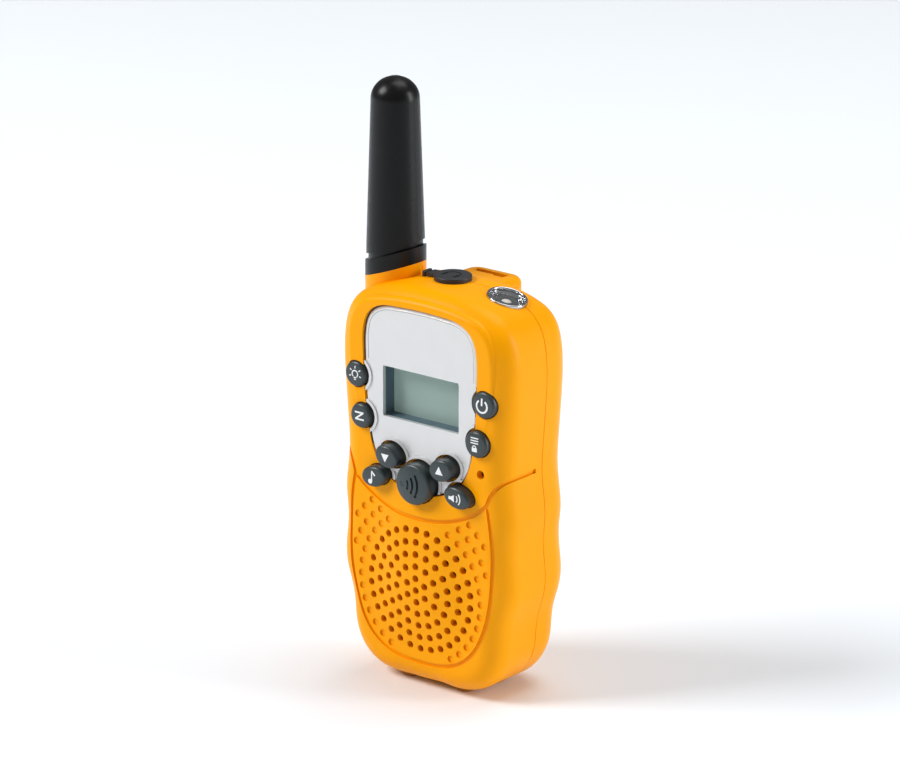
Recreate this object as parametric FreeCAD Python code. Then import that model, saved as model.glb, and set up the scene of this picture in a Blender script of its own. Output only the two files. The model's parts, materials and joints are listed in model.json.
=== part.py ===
"""Hand-held two way radio: two moulded shells, nine sprung keys, display, speaker, torch, aerial
and a battery compartment behind a tilting door.

Millimetres. +X is the user's right when facing the keys, -Y is the front, +Z is up. The origin is
on the table, under the middle of the radio's box.
"""
import math
import os

import FreeCAD
import Part

Vec = FreeCAD.Vector

# ---- driving dimensions -------------------------------------------------------------------------
HEIGHT = 147.2           # feet to the tip of the aerial
BASE_Z = 1.2             # underside of the shells, above the feet
TOP_Z = 100.0            # top of the shells
HALF_WIDTH = 26.3
FRONT_Y = -14.0          # flat front of the shells
BACK_Y = 12.6            # flat back
SPLIT_Y = 1.2            # parting plane between the two shells
SHIELD_TILT = 1.1        # degrees that the frame round the panel leans forward from the flat face
SHIELD_HINGE_Z = 64.0    # height where it comes out of the flat face
SHIELD_EDGE_R = 1.6
WALL = 1.8
FRONT_RIM_R = 5.6
REAR_RIM_R = 8.0
CENTRE_SHIFT_Y = 0.475   # puts the middle of the whole box on y = 0

# speaker grille
GRILLE_Z = 25.9
RING_PITCH = 3.07
HOLE_R = 0.92
OPEN_RINGS = 5
LAST_RING = 9
DIMPLE_DEPTH = 0.45
CROWN = 2.05             # how far the grille stands out at its middle
CROWN_DIP = 0.12
GROOVE_W = 1.0
GROOVE_DEPTH = 0.55

# display
PANEL_FACE_Y = -13.85
PANEL_T = 1.0
WINDOW_HALF_W = 11.6
WINDOW_Z = (67.4, 80.0)
LCD_FACE_Y = -9.6
BOARD_FACE_Y = -7.6
BOARD_T = 1.2

# keys: name, x, z, y of the outer face, half width, half height, tilt in degrees
KEYS = (
    ("lamp_key", -19.5, 76.4, -15.1, 3.2, 3.2, 0.0),
    ("power_key", 19.7, 76.4, -15.1, 3.3, 3.3, 0.0),
    ("scan_key", -17.7, 66.3, -15.5, 3.1, 3.1, 0.0),
    ("menu_key", 17.8, 66.4, -15.6, 3.3, 3.3, 0.0),
    ("down_key", -8.3, 58.3, -17.3, 3.5, 2.75, -14.0),
    ("up_key", 8.3, 58.3, -17.3, 3.5, 2.75, 14.0),
    ("call_key", -12.7, 52.3, -16.9, 3.7, 2.6, 12.0),
    ("monitor_key", 12.8, 52.3, -16.9, 3.9, 2.6, -12.0),
    ("talk_key", 0.0, 53.1, -17.95, 5.1, 5.1, 0.0),
)
TALK_MARK_DEPTH = 0.35
KEY_DOME_R = 17.0
KEY_RIM_R = 0.8
KEY_GAP = 0.2
KEY_FLANGE = 0.4
KEY_FLANGE_T = 0.8
FLANGE_REACH_X = 21.3    # keeps the outer keys' flanges clear of the curved wall
PLUNGER_R = 1.6
PLUNGER_END_Y = -9.6
DOME_R = 2.0
DOME_T = 0.9

# aerial
AERIAL = (-18.9, 0.0)
AERIAL_R = 7.1
AERIAL_TIP_R = 5.9
COLLAR_R = 7.4
NECK_R = 6.6
COLLAR_Z = 99.9          # underside of the collar on the aerial's axis
COLLAR_T = 3.9
NECK_T = 1.5
RIM_SLOPE = 0.34         # the collar's faces rise towards +X
STUB_R = 5.0
STUB_DEPTH = 7.0
BOSS_FOOT_Z = 84.0
BOSS_BLEND_R = 3.2
BOSS_BLEND_Z = 95.6

# torch
TORCH = (15.1, 0.2, 98.75)
TORCH_TILT = 15.0
TORCH_R = 5.0
TORCH_DEPTH = 7.0

# headset jack and its rubber cover
JACK = (-1.5, 0.3)
JACK_BORE_R = 1.3
JACK_PORT_R = 2.5
COVER_R = 4.6
COVER_T = 1.25
COVER_HINGE_X = -7.9
STRAP_T = 0.95
COVER_MARK_DEPTH = 0.25

# belt clip socket on the back
SOCKET_HALF_W = 8.0
SOCKET_BACK_Y = 17.0
SOCKET_CORNER_R = 3.6
SOCKET_Z0 = 66.0
SLOT_HALF_W = 4.8
SLOT_Y = (12.0, 13.9)
SLOT_LINER_Y = 10.1      # inside of the wall between the slot and the cavity
SLOT_DEPTH = 26.0

# batteries
CELL_R = 5.1
CELL_L = 44.0
CELL_PITCH = 10.5
CELL_Y = 5.2
CELL_Z = 11.4
TRAY_Z = (9.0, 57.4)      # inside of the compartment's floor and roof
TRAY_T = 1.2
CONTACT_T = 0.4
DOOR_HALF_W = 21.4
DOOR_Z = (13.3, 57.1)
DOOR_CORNER_R = 6.0
DOOR_GAP = 0.3
DOOR_SWING_GAP = 0.8     # under the door's lower edge, which the door tilts on

# screws
SCREWS = ((-17.5, 85.0), (17.5, 85.0), (0.0, 62.0))
SCREW_R = 1.0
SCREW_BOSS_R = 2.2

# feet
FOOT_X = 8.5
FOOT_Y = (-7.0, 6.0)
FOOT_R = 2.1
FOOT_RECESS = 0.5

FAR = 60.0
OUTLINE_STEPS = 72


# ---- helpers ------------------------------------------------------------------------------------
def box(x0, x1, y0, y1, z0, z1):
    """A box between two corners."""
    return Part.makeBox(x1 - x0, y1 - y0, z1 - z0, Vec(x0, y0, z0))


def rod_y(x, z, radius, y0, y1):
    """A cylinder along Y."""
    return Part.makeCylinder(radius, y1 - y0, Vec(x, y0, z), Vec(0, 1, 0))


def rod_z(x, y, radius, z0, z1):
    """A cylinder along Z."""
    return Part.makeCylinder(radius, z1 - z0, Vec(x, y, z0))


def prism_y(face, y0, y1):
    """A face drawn in the XZ plane, as a solid from y0 to y1."""
    moved = face.copy()
    moved.translate(Vec(0, y0, 0))
    return moved.extrude(Vec(0, y1 - y0, 0))


def rounded(x0, x1, z0, z1, radius):
    """A rectangle with round corners in the XZ plane."""
    plate = box(x0, x1, 0, 1, z0, z1)
    corners = [e for e in plate.Edges if abs(e.tangentAt(e.FirstParameter).y) > 0.9]
    plate = plate.makeFillet(radius, corners)
    return next(f for f in plate.Faces if abs(f.CenterOfMass.y) < 1e-6)


def oval(x, z, half_w, half_h, tilt, grow=0.0):
    """An ellipse in the XZ plane, as a face."""
    if abs(half_w - half_h) < 1e-6:
        edge = Part.makeCircle(half_w + grow, Vec(x, 0, z), Vec(0, 1, 0))
        return Part.Face(Part.Wire(edge))
    angle = math.radians(tilt)
    along = Vec(math.cos(angle), 0, math.sin(angle))
    across = Vec(-math.sin(angle), 0, math.cos(angle))
    centre = Vec(x, 0, z)
    ellipse = Part.Ellipse(centre + along * (half_w + grow), centre + across * (half_h + grow), centre)
    return Part.Face(Part.Wire(ellipse.toShape()))


def ribbon(points, width):
    """A strip of even width along a smooth curve in the XZ plane, as a face."""
    curve = Part.BSplineCurve()
    curve.interpolate([Vec(x, 0, z) for x, z in points])
    count = 4 * len(points)
    sides = ([], [])
    for i in range(count + 1):
        at = curve.FirstParameter + (curve.LastParameter - curve.FirstParameter) * i / count
        middle = curve.value(at)
        along = curve.tangent(at)[0]
        across = Vec(-along.z, 0, along.x) * (width / 2)
        sides[0].append(middle + across)
        sides[1].append(middle - across)
    edges = []
    for side in sides:
        edge = Part.BSplineCurve()
        edge.interpolate(side)
        edges.append(edge.toShape())
    edges.append(Part.makeLine(sides[0][0], sides[1][0]))
    edges.append(Part.makeLine(sides[0][-1], sides[1][-1]))
    return Part.Face(Part.Wire(Part.__sortEdges__(edges)))


def above_slant(z, thickness):
    """The space over the aerial's slanted rim plane that crosses its axis at z."""
    slab = Part.makeBox(2 * FAR, 2 * FAR, thickness, Vec(-FAR, -FAR, 0))
    slab.rotate(Vec(0, 0, 0), Vec(0, 1, 0), -math.degrees(math.atan(RIM_SLOPE)))
    slab.translate(Vec(AERIAL[0], AERIAL[1], z))
    return slab


def one_solid(shape):
    """The largest solid of a result, without slivers."""
    return max(shape.Solids, key=lambda s: s.Volume)


# ---- outer form ---------------------------------------------------------------------------------
def closed_outline(right, top, bottom, grow=0.0):
    """A smooth closed outline in the XZ plane, the same on both sides, moved out by grow."""
    points = [Vec(x, 0, z) for x, z in right] + [Vec(0, 0, top)]
    points += [Vec(-x, 0, z) for x, z in right[::-1]] + [Vec(0, 0, bottom)]
    curve = Part.BSplineCurve()
    curve.interpolate(Points=points, PeriodicFlag=True)
    if grow:
        length = curve.length()
        moved = []
        for i in range(OUTLINE_STEPS):
            at = curve.parameterAtDistance(length * i / OUTLINE_STEPS, curve.FirstParameter)
            along = curve.tangent(at)[0]
            moved.append(curve.value(at) + Vec(along.z, 0, -along.x) * grow)
        curve = Part.BSplineCurve()
        curve.interpolate(Points=moved, PeriodicFlag=True)
    return Part.Face(Part.Wire(curve.toShape()))


def front_outline(grow=0.0):
    """The shells seen from the front: a waved grip, round bottom corners and a sloping top."""
    right = [(6.0, BASE_Z), (12.0, 1.35), (17.2, 3.3), (21.0, 7.2), (22.9, 12.0), (23.4, 16.5),
             (24.1, 21.0), (25.5, 25.5), (26.15, 30.0), (25.75, 35.3), (25.45, 40.0), (25.95, 46.0),
             (25.5, 51.5), (24.95, 57.0), (25.25, 64.0), (25.85, 72.0), (HALF_WIDTH, 80.0),
             (25.95, 87.0), (24.6, 92.0), (21.4, 95.9), (16.5, 98.1), (11.5, 99.3), (6.0, 99.9)]
    return closed_outline(right, TOP_Z, BASE_Z, grow)


def crown_y(x, z):
    """The soft crown over the speaker. Its edge dips just behind the flat front."""
    across = math.exp(-(abs(x) / 11.4) ** 3)
    reach = 23.0 if z < 31.0 else 30.0
    up = max(0.0, 1.0 - ((z - 31.0) / reach) ** 2) ** 1.6
    return FRONT_Y + CROWN_DIP - (CROWN + CROWN_DIP) * across * up


def crown(offset):
    """The crown as a solid that reaches back into the shells, moved back by offset."""
    xs = [-24.0 + 2.0 * i for i in range(25)]
    zs = [6.0 + 2.0 * i for i in range(29)]
    grid = [[Vec(x, crown_y(x, z) + offset, z) for z in zs] for x in xs]
    surface = Part.BSplineSurface()
    surface.interpolate(grid)
    block = surface.toShape().extrude(Vec(0, 2.0, 0))
    return block.common(prism_y(rounded(-18.0, 18.0, 8.8, 60.6, 11.0), -FAR / 2, FAR / 2))


def shell_form(inset, front_r, rear_r):
    """The outer form of the closed shells, moved in by inset."""
    form = prism_y(front_outline(-inset), FRONT_Y + inset, BACK_Y - inset)
    rear = [e for e in form.Edges if e.BoundBox.YMin > BACK_Y - inset - 0.01]
    form = form.makeFillet(rear_r, rear)
    front = [e for e in form.Edges if e.BoundBox.YMax < FRONT_Y + inset + 0.01]
    form = form.makeFillet(front_r, front)
    return one_solid(form.fuse(crown(inset)))


def aerial_boss():
    """The collar's seat: a round boss with a hollow blend into the sloping shoulder."""
    x, y = AERIAL
    boss = rod_z(x, y, COLLAR_R, BOSS_FOOT_Z, COLLAR_Z + 10.0)
    r, blend = COLLAR_R - 0.05, BOSS_BLEND_R
    low = Vec(x + r + blend, y, 0)
    high = Vec(x + r, y, blend)
    middle = Vec(x + r + blend * (1.0 - math.sqrt(0.5)), y, blend * (1.0 - math.sqrt(0.5)))
    edges = [Part.Arc(low, middle, high).toShape(), Part.makeLine(high, Vec(x, y, blend)),
             Part.makeLine(Vec(x, y, blend), Vec(x, y, -2.0)),
             Part.makeLine(Vec(x, y, -2.0), low + Vec(0, 0, -2.0)),
             Part.makeLine(low + Vec(0, 0, -2.0), low)]
    flare = Part.Face(Part.Wire(edges)).revolve(Vec(x, y, 0), Vec(0, 0, 1), 360)
    flare.rotate(Vec(x, y, 0), Vec(0, 1, 0), -math.degrees(math.atan(RIM_SLOPE)))
    flare.translate(Vec(0, 0, BOSS_BLEND_Z))
    flare = flare.common(prism_y(front_outline(-0.03), -FAR, FAR))
    return one_solid(boss.fuse(flare).cut(above_slant(COLLAR_Z, 40.0)))


def clip_socket():
    """The belt clip socket: a raised block on the back with an open slot in its top."""
    side = [Vec(0, 2.0, TOP_Z - 0.55), Vec(0, SOCKET_BACK_Y, TOP_Z - 1.15),
            Vec(0, SOCKET_BACK_Y, SOCKET_Z0 + 10.0), Vec(0, BACK_Y - 0.5, SOCKET_Z0),
            Vec(0, 2.0, SOCKET_Z0)]
    face = Part.Face(Part.makePolygon(side + [side[0]]))
    face.translate(Vec(-SOCKET_HALF_W, 0, 0))
    block = face.extrude(Vec(2 * SOCKET_HALF_W, 0, 0))
    corners = [e for e in block.Edges if e.BoundBox.YMin > BACK_Y - 0.6 and e.BoundBox.XLength < 0.1]
    block = block.makeFillet(SOCKET_CORNER_R, corners)
    top = [e for e in block.Edges if e.BoundBox.ZMin > TOP_Z - 1.5 and e.BoundBox.YMin > BACK_Y]
    return block.makeFillet(1.9, top)


# ---- shells -------------------------------------------------------------------------------------
def panel_outline(grow=0.0):
    """The silver panel seen from the front."""
    right = [(5.0, 50.9), (9.4, 52.7), (13.3, 56.6), (15.4, 62.5), (16.3, 68.0), (16.9, 75.0),
             (17.15, 82.0), (17.05, 88.0), (15.6, 92.2), (12.2, 94.6), (6.5, 95.4)]
    return closed_outline(right, 95.6, 50.4, grow)


def shield():
    """The soft raised frame round the panel, which sinks into the flat face further down."""
    right = [(8.0, 52.0), (15.0, 54.0), (18.6, 60.0), (20.4, 67.0), (21.9, 74.0), (22.7, 81.0),
             (22.6, 87.0), (21.2, 92.2), (18.0, 95.5), (13.0, 97.1), (6.5, 97.9)]
    plate = prism_y(closed_outline(right, 98.1, 51.6), FRONT_Y, FRONT_Y + 6.0)
    edge = [e for e in plate.Edges if e.BoundBox.YMax < FRONT_Y + 0.1]
    plate = plate.makeFillet(SHIELD_EDGE_R, edge)
    plate.rotate(Vec(0, FRONT_Y, SHIELD_HINGE_Z), Vec(1, 0, 0), SHIELD_TILT)
    return plate


def grille_holes():
    """Rings of through holes, and the blind dimples outside them, as two lists of cutters."""
    border = grille_border()
    through = []
    blind = []
    for ring in range(LAST_RING + 1):
        count = max(1, 6 * ring)
        for i in range(count):
            angle = math.radians(90.0 + 360.0 * i / count)
            x = ring * RING_PITCH * math.cos(angle)
            z = GRILLE_Z + ring * RING_PITCH * math.sin(angle)
            if ring <= OPEN_RINGS:
                through.append(rod_y(x, z, HOLE_R, -FAR / 2, -9.0))
            elif border.isInside(Vec(x, 0, z), 0.01, True):
                floor = min(FRONT_Y, crown_y(x, z)) + DIMPLE_DEPTH
                blind.append(rod_y(x, z, HOLE_R, -FAR / 2, floor))
    return through, blind


def grille_border():
    """The patch that holds the holes, a hole's width inside the outline groove."""
    right = [(0.0, 8.9), (8.5, 9.6), (13.6, 12.2), (17.2, 17.0), (19.2, 24.0), (20.1, 33.0),
             (19.7, 41.0), (18.4, 47.0), (16.6, 46.6), (11.0, 44.0), (0.0, 42.4)]
    return closed_outline(right[1:-1], 42.4, 8.9)


def grooves():
    """The outline round the grille, the arc over it and the two lines that run off to the sides."""
    lower = [(20.2, 51.4), (21.3, 45.0), (21.8, 36.0), (21.2, 27.0), (19.2, 19.0), (15.8, 12.7),
             (11.0, 8.9), (0.0, 7.0)]
    arc = [(20.2, 51.4), (16.0, 48.0), (11.0, 45.7), (0.0, 44.2)]
    away = [(20.2, 51.4), (21.6, 54.6), (23.6, 57.0), (28.0, 58.2)]
    strips = []
    for half in (lower, arc):
        left = [(-x, z) for x, z in half[:-1]]
        strips.append(ribbon(half + left[::-1], GROOVE_W))
    strips.append(ribbon(away, GROOVE_W))
    strips.append(ribbon([(-x, z) for x, z in away], GROOVE_W))
    return [prism_y(strip, -FAR / 2, -1.2) for strip in strips]


def screw_bosses(y0, y1):
    """The posts that the housing screws run through."""
    return [rod_y(x, z, SCREW_BOSS_R, y0, y1) for x, z in SCREWS]


def top_cutters():
    """Openings in the top: aerial stub, torch and headset port."""
    stub = rod_z(AERIAL[0], AERIAL[1], STUB_R + 0.05, COLLAR_Z - STUB_DEPTH - 0.1, HEIGHT)
    torch = torch_frame(Part.makeCylinder(TORCH_R + 0.05, TORCH_DEPTH + 6.0, Vec(0, 0, -TORCH_DEPTH)))
    port = rod_z(JACK[0], JACK[1], JACK_PORT_R, TOP_Z - 4.0, TOP_Z + 3.0)
    core = rod_z(AERIAL[0], AERIAL[1], 2.2, BOSS_FOOT_Z, COLLAR_Z)
    return [stub, torch, port, core, cover_anchor_block()]


def foot_recesses():
    """The shallow seats that the pads are glued into."""
    return [rod_z(x, y, FOOT_R + 0.05, -1.0, BASE_Z + FOOT_RECESS) for x, y in foot_places()]


def torch_frame(shape):
    """Puts a shape drawn on the torch's own axis into its place in the top."""
    shape.rotate(Vec(0, 0, 0), Vec(0, 1, 0), TORCH_TILT)
    shape.translate(Vec(*TORCH))
    return shape


def torch_well():
    """The wall round the torch, inside the top."""
    well = torch_frame(Part.makeCylinder(TORCH_R + 1.2, TORCH_DEPTH, Vec(0, 0, -TORCH_DEPTH)))
    return well


def whole_casing():
    """Both shells as one hollow body, before it is parted."""
    outer = shell_form(0.0, FRONT_RIM_R, REAR_RIM_R)
    cavity = shell_form(WALL, FRONT_RIM_R - WALL, REAR_RIM_R - WALL)
    skin = shell_form(GROOVE_DEPTH, FRONT_RIM_R - GROOVE_DEPTH, REAR_RIM_R - GROOVE_DEPTH)
    socket = clip_socket()
    socket = socket.common(prism_y(front_outline(), 0, FAR))
    seat = rod_z(AERIAL[0], AERIAL[1], STUB_R + 1.4, COLLAR_Z - STUB_DEPTH - 1.5, COLLAR_Z - 2.0)
    casing = one_solid(outer.fuse([aerial_boss(), socket, shield()])).cut(cavity)
    inside = cavity.common(Part.makeCompound([seat.fuse(torch_well())]))
    casing = casing.fuse(inside)
    line = skin.copy()
    for strip in grooves():
        casing = casing.cut(strip.common(outer).cut(line))
    return one_solid(casing), outer, cavity


def parting_seam():
    """A fine step round the parting plane."""
    band = prism_y(front_outline(2.0), SPLIT_Y - 0.1, SPLIT_Y + 0.1)
    inner = prism_y(front_outline(-0.2), SPLIT_Y - 0.3, SPLIT_Y + 0.3)
    return band.cut(inner)


def front_shell(casing, cavity):
    """The front moulding with grille, key holes, display opening and screw posts."""
    shell = casing.common(box(-FAR, FAR, -FAR, SPLIT_Y, -FAR, 2 * FAR))
    posts = [p.common(cavity) for p in screw_bosses(-FAR / 2, SPLIT_Y)]
    shell = shell.fuse(posts)
    cutters = [prism_y(panel_outline(0.3), -FAR / 2, PANEL_FACE_Y + PANEL_T + 0.05)]
    window = rounded(-12.6, 12.6, WINDOW_Z[0] - 1.0, WINDOW_Z[1] + 1.0, 1.2)
    cutters.append(prism_y(window, -FAR / 2, -9.0))
    for _, x, z, _, half_w, half_h, tilt in KEYS:
        cutters.append(prism_y(oval(x, z, half_w, half_h, tilt, KEY_GAP), -FAR / 2, -9.0))
    cutters.append(rod_y(18.3, 58.7, 1.1, -FAR / 2, -9.0))
    for x, z in SCREWS:
        cutters.append(rod_y(x, z, SCREW_R, -8.0, FAR))
    for cutter in cutters + top_cutters() + foot_recesses():
        shell = shell.cut(cutter)
    through, blind = grille_holes()
    shell = shell.cut(Part.makeCompound(through))
    shell = shell.cut(Part.makeCompound(blind))
    return one_solid(shell)


def rear_shell(casing, cavity):
    """The back moulding with the battery tray, clip socket and screw posts."""
    shell = casing.common(box(-FAR, FAR, SPLIT_Y, FAR, -FAR, 2 * FAR))
    posts = [p.common(cavity) for p in screw_bosses(SPLIT_Y, FAR / 2)]
    space = cavity.common(box(-FAR, FAR, -FAR, FAR, -FAR, TRAY_Z[1] + TRAY_T))
    plate_y = SPLIT_Y - 1.3 - TRAY_T
    tray = space.common(box(-FAR, FAR, plate_y, plate_y + TRAY_T, TRAY_Z[0] - TRAY_T, FAR))
    for z in (TRAY_Z[0] - TRAY_T, TRAY_Z[1]):
        tray = tray.fuse(space.common(box(-FAR, FAR, plate_y, FAR, z, z + TRAY_T)))
    liner = cavity.common(box(-SLOT_HALF_W - 1.4, SLOT_HALF_W + 1.4, SLOT_LINER_Y, FAR,
                              TOP_Z - SLOT_DEPTH - 1.5, FAR * 2))
    shell = shell.fuse(posts + [tray, liner])
    slot = box(-SLOT_HALF_W, SLOT_HALF_W, SLOT_Y[0], SLOT_Y[1], TOP_Z - SLOT_DEPTH, TOP_Z + 5.0)
    entry = box(1.6, SLOT_HALF_W, SLOT_Y[0] - 0.6, SLOT_Y[1], TOP_Z - 3.0, TOP_Z + 5.0)
    cutters = [slot, entry]
    opening = rounded(-DOOR_HALF_W - DOOR_GAP, DOOR_HALF_W + DOOR_GAP, DOOR_Z[0] - DOOR_SWING_GAP,
                      DOOR_Z[1] + DOOR_GAP, DOOR_CORNER_R)
    cutters.append(prism_y(opening, CELL_Y + 1.0, FAR))
    for x, z in SCREWS:
        cutters.append(rod_y(x, z, SCREW_R + 0.2, 0, FAR))
        cutters.append(rod_y(x, z, 2.0, BACK_Y - 4.0, FAR))
    for cutter in cutters + top_cutters() + foot_recesses():
        shell = shell.cut(cutter)
    return one_solid(shell)


# ---- keys ---------------------------------------------------------------------------------------
def key(name, x, z, face_y, half_w, half_h, tilt):
    """One key: a domed cap, a retaining flange inside the shell and a plunger over its switch."""
    inner_y = FRONT_Y + WALL
    cap = prism_y(oval(x, z, half_w, half_h, tilt), face_y - 1.0, inner_y + 0.4)
    cap = one_solid(cap.common(Part.makeSphere(KEY_DOME_R, Vec(x, face_y + KEY_DOME_R, z))))
    rim = [e for e in cap.Edges if e.BoundBox.YMax < inner_y and e.Length > 2 * half_h]
    cap = cap.makeFillet(KEY_RIM_R, rim)
    if name == "talk_key":
        cap = cap.cut(Part.makeCompound(talk_symbol(x, z, face_y)))
    flange = prism_y(oval(x, z, half_w, half_h, tilt, KEY_FLANGE), inner_y + 0.3,
                     inner_y + 0.3 + KEY_FLANGE_T)
    flange = flange.common(box(-FLANGE_REACH_X, FLANGE_REACH_X, -FAR, FAR, 0, FAR * 2))
    plunger = rod_y(x, z, PLUNGER_R, inner_y + 1.0, PLUNGER_END_Y)
    return cap.fuse([flange, plunger]).removeSplitter()


def talk_symbol(x, z, face_y):
    """Cutters for the mark sunk in the talk key: a dot and three sound waves."""
    x = x - 2.6
    marks = [rod_y(x, z, 0.65, face_y - 2.0, face_y + TALK_MARK_DEPTH)]
    fan = Part.makePolygon([Vec(x, 0, z), Vec(x + 8.0, 0, z + 6.0), Vec(x + 8.0, 0, z - 6.0),
                            Vec(x, 0, z)])
    fan = prism_y(Part.Face(fan), -FAR, FAR)
    for i, radius in enumerate((1.9, 3.3, 4.7)):
        y1 = face_y + TALK_MARK_DEPTH + 0.12 * i
        ring = rod_y(x, z, radius + 0.32, face_y - 2.0, y1).cut(rod_y(x, z, radius - 0.32, -FAR, FAR))
        marks.append(ring.common(fan))
    return marks


def keypad_mat():
    """The thin sheet on the board that surrounds the dome switches."""
    mat = box(-21.6, 21.6, BOARD_FACE_Y - 0.4, BOARD_FACE_Y, 47.5, 81.5)
    cutters = [box(-13.6, 13.6, -FAR, FAR, 65.2, FAR * 2)]
    cutters += [rod_y(x, z, DOME_R + 0.5, -FAR, FAR) for _, x, z, _, _, _, _ in KEYS]
    cutters += [rod_y(x, z, SCREW_BOSS_R + 0.4, -FAR, FAR) for x, z in SCREWS]
    for cutter in cutters:
        mat = mat.cut(cutter)
    return one_solid(mat)


def dome_switches():
    """One tact dome under each key."""
    return [rod_y(x, z, DOME_R, BOARD_FACE_Y - DOME_T, BOARD_FACE_Y) for _, x, z, _, _, _, _ in KEYS]


# ---- display ------------------------------------------------------------------------------------
def display_panel():
    """The silver panel, notched round the keys, with a window for the display."""
    y1 = PANEL_FACE_Y + PANEL_T
    plate = prism_y(panel_outline(), PANEL_FACE_Y, y1)
    edge = [e for e in plate.Edges if e.BoundBox.YMax < PANEL_FACE_Y + 0.01]
    plate = plate.makeFillet(0.45, edge)
    rims = []
    for _, x, z, _, half_w, half_h, tilt in KEYS:
        rim = prism_y(oval(x, z, half_w, half_h, tilt, 1.35), PANEL_FACE_Y - 0.35, y1)
        rims.append(rim.common(prism_y(panel_outline(), -FAR / 2, FAR / 2)))
    plate = plate.fuse(rims)
    for _, x, z, _, half_w, half_h, tilt in KEYS:
        plate = plate.cut(prism_y(oval(x, z, half_w, half_h, tilt, 0.65), -FAR / 2, FAR / 2))
    window = rounded(-WINDOW_HALF_W, WINDOW_HALF_W, WINDOW_Z[0], WINDOW_Z[1], 0.35)
    plate = plate.cut(prism_y(window, -FAR / 2, FAR / 2))
    return one_solid(plate)


def display_frame():
    """The dark well between the panel and the display glass."""
    outer = rounded(-12.5, 12.5, WINDOW_Z[0] - 0.9, WINDOW_Z[1] + 0.9, 1.2)
    inner = rounded(-WINDOW_HALF_W, WINDOW_HALF_W, WINDOW_Z[0], WINDOW_Z[1], 0.35)
    y0 = PANEL_FACE_Y + PANEL_T
    return prism_y(outer, y0, LCD_FACE_Y).cut(prism_y(inner, y0 - 1.0, LCD_FACE_Y + 1.0))


def display_lens():
    """The clear window at the bottom of the well."""
    inset = 0.05
    plate = rounded(-WINDOW_HALF_W + inset, WINDOW_HALF_W - inset, WINDOW_Z[0] + inset,
                    WINDOW_Z[1] - inset, 0.3)
    return prism_y(plate, LCD_FACE_Y - 0.6, LCD_FACE_Y)


def display_layer(y0, y1):
    """One flat layer of the display stack."""
    return box(-13.2, 13.2, y0, y1, WINDOW_Z[0] - 1.6, WINDOW_Z[1] + 1.6)


# ---- electronics --------------------------------------------------------------------------------
def main_board():
    """The circuit board, with clearance for the screw posts."""
    plate = rounded(-22.0, 22.0, 46.8, 89.0, 2.0)
    board = prism_y(plate, BOARD_FACE_Y, BOARD_FACE_Y + BOARD_T)
    for x, z in SCREWS:
        board = board.cut(rod_y(x, z, SCREW_BOSS_R + 0.2, -FAR, FAR))
    return board


def board_chips():
    """The packages soldered to the back of the board."""
    y = BOARD_FACE_Y + BOARD_T
    chips = [box(-5.0, 5.0, y, y + 1.4, 70.0, 80.0), box(8.5, 15.5, y, y + 1.2, 66.0, 73.0),
             box(-15.0, -8.0, y, y + 2.2, 74.0, 79.0), box(-16.0, -12.0, y, y + 1.0, 52.0, 57.0),
             box(6.0, 12.0, y, y + 1.2, 49.0, 54.0)]
    return chips


def speaker_frame():
    """The speaker's steel basket."""
    ring = rod_y(0, GRILLE_Z, 17.8, -10.9, -9.9).cut(rod_y(0, GRILLE_Z, 16.2, -FAR, FAR))
    wall = Part.makeCone(16.8, 9.5, 3.0, Vec(0, -9.9, GRILLE_Z), Vec(0, 1, 0))
    hollow = Part.makeCone(16.2, 8.9, 3.0, Vec(0, -9.9, GRILLE_Z), Vec(0, 1, 0))
    back = rod_y(0, GRILLE_Z, 9.5, -6.9, -6.3)
    return ring.fuse([wall.cut(hollow), back]).removeSplitter()


def speaker_cone():
    """The paper cone with its dust cap."""
    outer = Part.makeCone(16.1, 5.0, 2.4, Vec(0, -10.4, GRILLE_Z), Vec(0, 1, 0))
    inner = Part.makeCone(16.1, 5.0, 2.4, Vec(0, -10.7, GRILLE_Z), Vec(0, 1, 0))
    cap = rod_y(0, GRILLE_Z, 5.0, -8.6, -7.8)
    return one_solid(outer.cut(inner).fuse(cap))


def headset_jack():
    """The jack socket under the top wall."""
    body = box(-5.3, 2.3, -3.4, 4.0, 86.5, TOP_Z - 2.1)
    return body.cut(rod_z(JACK[0], JACK[1], JACK_BORE_R, 87.5, TOP_Z))


def jack_cover():
    """The rubber flap over the headset port, with its strap and plug."""
    z0 = TOP_Z + 0.05
    disc = rod_z(JACK[0], JACK[1], COVER_R, z0, z0 + COVER_T)
    disc = disc.makeFillet(0.45, [e for e in disc.Edges if e.BoundBox.ZMin > z0 + COVER_T - 0.01])
    disc = disc.cut(Part.makeCompound(cover_symbol(z0 + COVER_T)))
    strap = box(COVER_HINGE_X, JACK[0] - 3.9, -1.5, 1.5, z0, z0 + STRAP_T)
    bead = Part.makeCylinder(STRAP_T / 2, 3.0, Vec(COVER_HINGE_X, -1.5, z0 + STRAP_T / 2), Vec(0, 1, 0))
    plug = rod_z(JACK[0], JACK[1], 1.5, z0 - 1.4, z0 + 0.1)
    return disc.fuse([strap, bead, plug]).removeSplitter()


def cover_symbol(top):
    """Cutters for the headphones sunk in the cover: a band over two ear pads."""
    x, y = JACK
    low = top - COVER_MARK_DEPTH
    band = rod_z(x, y - 0.3, 2.3, low, top + 1.0).cut(rod_z(x, y - 0.3, 1.8, low - 1.0, top + 2.0))
    band = band.common(box(x - 3.0, x + 3.0, y - 0.3, y + 3.0, low, top + 1.0))
    pads = [box(x + side * 1.85 - 0.5, x + side * 1.85 + 0.5, y - 2.0, y - 0.2, low, top + 1.0)
            for side in (-1, 1)]
    return [band] + pads


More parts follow.
